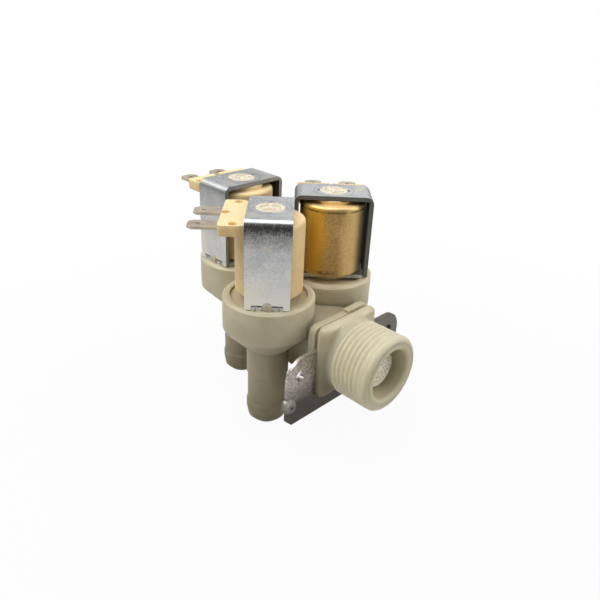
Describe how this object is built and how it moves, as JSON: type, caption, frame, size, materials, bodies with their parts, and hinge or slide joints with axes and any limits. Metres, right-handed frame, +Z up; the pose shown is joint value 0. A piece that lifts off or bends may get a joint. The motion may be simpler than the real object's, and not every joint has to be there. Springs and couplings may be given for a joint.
{
  "type": "three-way solenoid water valve",
  "caption": "Water inlet valve with a threaded inlet, a square-flanged neck in a screw bracket, and solenoid valves over hose outlets.",
  "frame": {"origin": "centre of the inlet's mouth, on the spigot's end face", "axes": "+Z up, along the plungers and away from the outlets; the inlet points to -Y, and +X is to the right seen from the inlet"},
  "size_m": [0.0766, 0.0992, 0.0801],
  "materials": {
    "body_nylon": "satin moulded nylon",
    "coil_plastic": "satin moulded resin",
    "zinc_steel": "zinc plated sheet",
    "bracket_steel": "dull stainless sheet",
    "terminal_metal": "tinned brass",
    "white_plastic": "matt",
    "guide_plastic": "satin",
    "bobbin_plastic": "satin",
    "copper": "enamelled wire",
    "core_steel": "turned stainless",
    "rubber": "matt"
  },
  "bodies": {
    "root": {"valve_body": "body_nylon", "mounting_bracket": "bracket_steel", "inlet_strainer": "white_plastic", "regulator_holder": "white_plastic", "regulator_ring": "rubber", "coil_shell_left": "coil_plastic", "terminals_left": "terminal_metal", "bobbin_left": "bobbin_plastic", "winding_left": "copper", "yoke_left": "zinc_steel", "pole_plate_left": "zinc_steel", "guide_tube_left": "guide_plastic", "return_spring_left": "core_steel", "diaphragm_left": "rubber", "coil_shell_rear": "coil_plastic", "terminals_rear": "terminal_metal", "bobbin_rear": "bobbin_plastic", "winding_rear": "copper", "yoke_rear": "zinc_steel", "pole_plate_rear": "zinc_steel", "guide_tube_rear": "guide_plastic", "return_spring_rear": "core_steel", "diaphragm_rear": "rubber", "coil_shell_right": "coil_plastic", "terminals_right": "terminal_metal", "bobbin_right": "bobbin_plastic", "winding_right": "copper", "yoke_right": "zinc_steel", "pole_plate_right": "zinc_steel", "guide_tube_right": "guide_plastic", "return_spring_right": "core_steel", "diaphragm_right": "rubber"},
    "plunger_left": {"plunger_left": "core_steel", "plunger_tip_left": "rubber"},
    "centre_left": {"diaphragm_centre_left": "bobbin_plastic"},
    "plunger_rear": {"plunger_rear": "core_steel", "plunger_tip_rear": "rubber"},
    "centre_rear": {"diaphragm_centre_rear": "bobbin_plastic"},
    "plunger_right": {"plunger_right": "core_steel", "plunger_tip_right": "rubber"},
    "centre_right": {"diaphragm_centre_right": "bobbin_plastic"}
  },
  "joints": [
    {"name": "plunger_slide_left", "type": "slide", "parent": "root", "child": "plunger_left", "axis": [0, 0, 1], "range_m": [0, 0.003], "stiffness_N_per_m": 150, "springref_m": -0.004, "deforming": ["return_spring_left"]},
    {"name": "centre_slide_left", "type": "slide", "parent": "root", "child": "centre_left", "axis": [0, 0, 1], "range_m": [0, 0.0024], "deforming": ["diaphragm_left"]},
    {"name": "plunger_slide_rear", "type": "slide", "parent": "root", "child": "plunger_rear", "axis": [0, 0, 1], "range_m": [0, 0.003], "stiffness_N_per_m": 150, "springref_m": -0.004, "deforming": ["return_spring_rear"]},
    {"name": "centre_slide_rear", "type": "slide", "parent": "root", "child": "centre_rear", "axis": [0, 0, 1], "range_m": [0, 0.0024], "deforming": ["diaphragm_rear"]},
    {"name": "plunger_slide_right", "type": "slide", "parent": "root", "child": "plunger_right", "axis": [0, 0, 1], "range_m": [0, 0.003], "stiffness_N_per_m": 150, "springref_m": -0.004, "deforming": ["return_spring_right"]},
    {"name": "centre_slide_right", "type": "slide", "parent": "root", "child": "centre_right", "axis": [0, 0, 1], "range_m": [0, 0.0024], "deforming": ["diaphragm_right"]}
  ],
  "couplings": [
    {"joint": "centre_slide_left", "follows": "plunger_slide_left", "ratio": 0.8},
    {"joint": "centre_slide_rear", "follows": "plunger_slide_rear", "ratio": 0.8},
    {"joint": "centre_slide_right", "follows": "plunger_slide_right", "ratio": 0.8}
  ]
}
